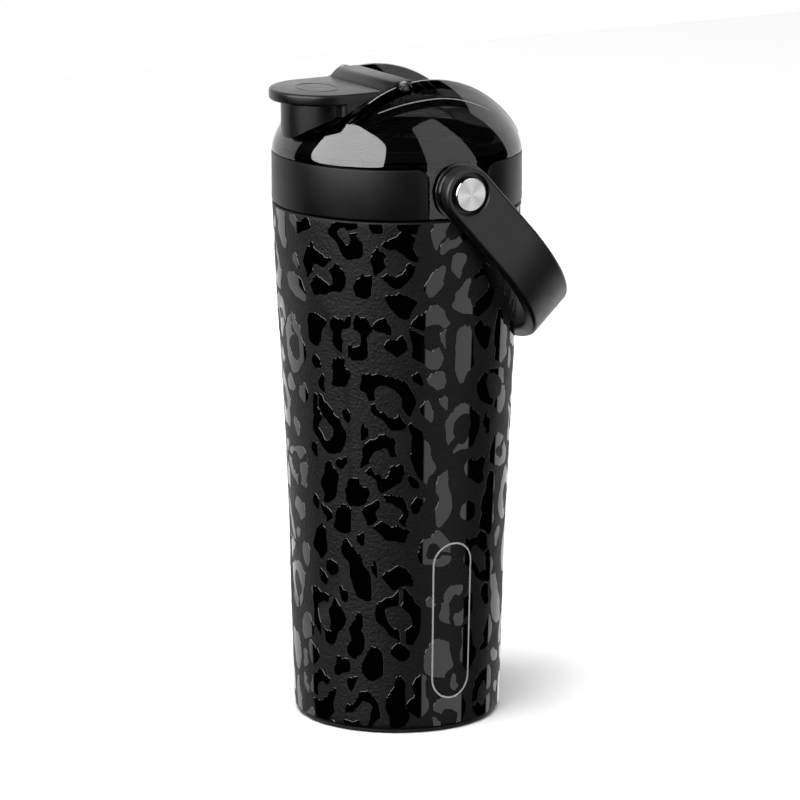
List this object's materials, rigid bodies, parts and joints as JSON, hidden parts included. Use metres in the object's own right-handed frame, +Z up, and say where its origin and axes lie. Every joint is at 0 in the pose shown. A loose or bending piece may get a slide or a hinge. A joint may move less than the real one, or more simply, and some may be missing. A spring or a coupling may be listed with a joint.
{
  "type": "insulated protein shaker bottle",
  "caption": "Insulated shaker bottle with a domed tinted screw lid, hinged flip cap over an offset spout, swinging carry loop and a shallow front grip recess.",
  "frame": {"origin": "centre of the flat base on the bottle's axis", "axes": "+Z up along the bottle's axis; -Y towards the spout and the grip recess; +X and -X through the carry loop's pivots; the loop hangs towards +Y at rest"},
  "size_m": [0.1042, 0.1083, 0.2339],
  "materials": {
    "powder_coat": "matte",
    "liner_steel": "satin",
    "seal_frit": "gloss",
    "silicone": "matte",
    "tinted_plastic": "gloss",
    "matte_trim": "satin",
    "inner_plastic": "satin",
    "hardware_steel": "satin",
    "insert_brass": "satin"
  },
  "bodies": {
    "bottle": {"outer_shell": "powder_coat", "inner_vessel": "liner_steel", "base_cap": "liner_steel", "vacuum_seal": "seal_frit", "vacuum_getter": "liner_steel", "base_pad": "silicone"},
    "gasket": {"lid_gasket": "silicone"},
    "lid": {"lid_shell": "tinted_plastic", "collar_front": "matte_trim", "collar_rear": "matte_trim", "agitator": "inner_plastic", "hinge_pin": "hardware_steel", "pivot_screw_left": "hardware_steel", "pivot_screw_right": "hardware_steel", "pivot_insert_left": "insert_brass", "pivot_insert_right": "insert_brass"},
    "flip_cap": {"flip_cap": "matte_trim", "cap_seal": "silicone"},
    "handle": {"handle_strap": "matte_trim", "pivot_bushing_left": "inner_plastic", "pivot_bushing_right": "inner_plastic"}
  },
  "joints": [
    {"name": "lid_rise", "type": "slide", "parent": "bottle", "child": "gasket", "axis": [0, 0, 1], "range_m": [0, 0.00801]},
    {"name": "lid_twist", "type": "hinge", "parent": "gasket", "child": "lid", "pos_m": [0, 0, 0.1978], "axis": [0, 0, 1], "range_deg": [0, 240]},
    {"name": "flip_cap_hinge", "type": "hinge", "parent": "lid", "child": "flip_cap", "pos_m": [0, -0.009, 0.2314], "axis": [-1, 0, 0], "range_deg": [0, 190]},
    {"name": "handle_swing", "type": "hinge", "parent": "lid", "child": "handle", "pos_m": [0, 0, 0.1978], "axis": [1, 0, 0], "range_deg": [0, 274]}
  ],
  "couplings": [
    {"joint": "lid_rise", "follows": "lid_twist", "m_per_rad": 0.0019099}
  ]
}
